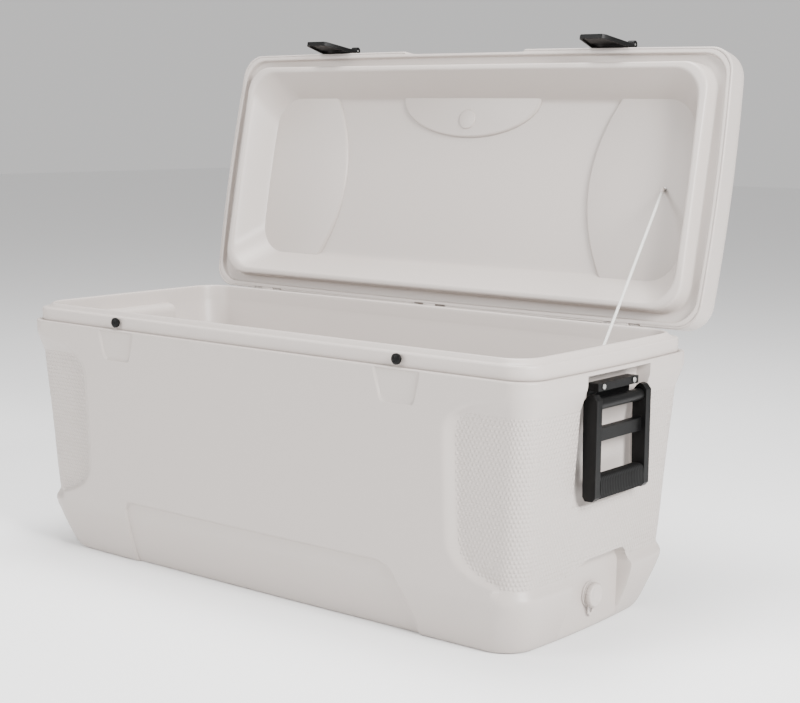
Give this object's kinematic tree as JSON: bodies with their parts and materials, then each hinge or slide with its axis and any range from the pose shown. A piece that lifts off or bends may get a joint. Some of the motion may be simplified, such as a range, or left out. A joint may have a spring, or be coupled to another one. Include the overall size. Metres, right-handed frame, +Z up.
{
  "type": "chest cooler",
  "caption": "Long insulated chest cooler shown open: hinged hollow lid held by a stay cord, front latches, swinging end handles and a screw-cap drain.",
  "frame": {"origin": "on the floor, under the middle of the tub", "axes": "+X along the length towards the end with the drain, +Y towards the hinges at the back, +Z up; the front with the latches faces -Y"},
  "size_m": [1.117, 0.6382, 0.9193],
  "materials": {
    "shell": "satin moulded polyethylene, warm off-white",
    "liner": "satin moulded polypropylene, warm off-white",
    "foam": "rigid urethane foam, hidden",
    "hinge": "satin moulded plastic",
    "steel": "stainless steel",
    "black": "black moulded plastic, slightly glossy",
    "grip": "black ribbed soft plastic",
    "drain": "satin moulded plastic, off-white",
    "seal": "matt rubber",
    "cord": "white braided cord"
  },
  "bodies": {
    "tub": {"body_shell": "shell", "body_liner": "liner", "body_liner_floor": "liner", "body_foam": "foam", "hinge_tub_leaf_left": "hinge", "hinge_pin_left": "steel", "hinge_tub_screw_left_a": "steel", "hinge_tub_screw_left_b": "steel", "hinge_tub_leaf_middle": "hinge", "hinge_pin_middle": "steel", "hinge_tub_screw_middle_a": "steel", "hinge_tub_screw_middle_b": "steel", "hinge_tub_leaf_right": "hinge", "hinge_pin_right": "steel", "hinge_tub_screw_right_a": "steel", "hinge_tub_screw_right_b": "steel", "catch_stud_left": "black", "catch_stud_right": "black", "handle_bracket_left": "black", "handle_rod_left": "steel", "handle_screw_left_a": "steel", "handle_screw_left_b": "steel", "handle_bracket_right": "black", "handle_rod_right": "steel", "handle_screw_right_a": "steel", "handle_screw_right_b": "steel", "drain_spout": "drain", "drain_gasket": "seal", "drain_nut": "drain", "stay_cord": "cord", "stay_screw_tub": "steel"},
    "lid": {"lid_shell": "shell", "lid_liner": "liner", "lid_foam": "foam", "hinge_lid_leaf_left": "hinge", "hinge_lid_screw_left_a": "steel", "hinge_lid_screw_left_b": "steel", "hinge_lid_leaf_middle": "hinge", "hinge_lid_screw_middle_a": "steel", "hinge_lid_screw_middle_b": "steel", "hinge_lid_leaf_right": "hinge", "hinge_lid_screw_right_a": "steel", "hinge_lid_screw_right_b": "steel", "latch_bracket_left": "black", "latch_pin_left": "steel", "latch_screw_left_a": "steel", "latch_screw_left_b": "steel", "latch_bracket_right": "black", "latch_pin_right": "steel", "latch_screw_right_a": "steel", "latch_screw_right_b": "steel", "stay_screw_lid": "steel"},
    "latch_left": {"latch_lever_left": "black"},
    "handle_left": {"handle_bail_left": "black", "handle_grip_left": "grip"},
    "latch_right": {"latch_lever_right": "black"},
    "handle_right": {"handle_bail_right": "black", "handle_grip_right": "grip"},
    "drain_tether_ring": {"drain_tether": "drain"},
    "drain_plug": {"drain_cap": "drain"}
  },
  "joints": [
    {"name": "lid_hinge", "type": "hinge", "parent": "tub", "child": "lid", "pos_m": [0, 0.2392, 0.4363], "axis": [1, 0, 0], "range_deg": [0, 101.4], "deforming": ["stay_cord"]},
    {"name": "latch_left_hinge", "type": "hinge", "parent": "lid", "child": "latch_left", "pos_m": [-0.3076, 0.35903, 0.90403], "axis": [-1, 0, 0], "range_deg": [0, 100]},
    {"name": "latch_right_hinge", "type": "hinge", "parent": "lid", "child": "latch_right", "pos_m": [0.3076, 0.35903, 0.90403], "axis": [-1, 0, 0], "range_deg": [0, 100]},
    {"name": "handle_left_hinge", "type": "hinge", "parent": "tub", "child": "handle_left", "pos_m": [-0.546, 0, 0.366], "axis": [0, 1, 0], "range_deg": [0, 95]},
    {"name": "handle_right_hinge", "type": "hinge", "parent": "tub", "child": "handle_right", "pos_m": [0.546, 0, 0.366], "axis": [0, -1, 0], "range_deg": [0, 95]},
    {"name": "drain_cap_travel", "type": "slide", "parent": "tub", "child": "drain_tether_ring", "axis": [1, 0, 0], "range_m": [0, 0.005]},
    {"name": "drain_cap_turn", "type": "hinge", "parent": "drain_tether_ring", "child": "drain_plug", "pos_m": [0.514, 0, 0.058], "axis": [1, 0, 0], "range_deg": [0, 450]}
  ],
  "couplings": [
    {"joint": "drain_cap_travel", "follows": "drain_cap_turn", "m_per_rad": 0.00063662}
  ]
}
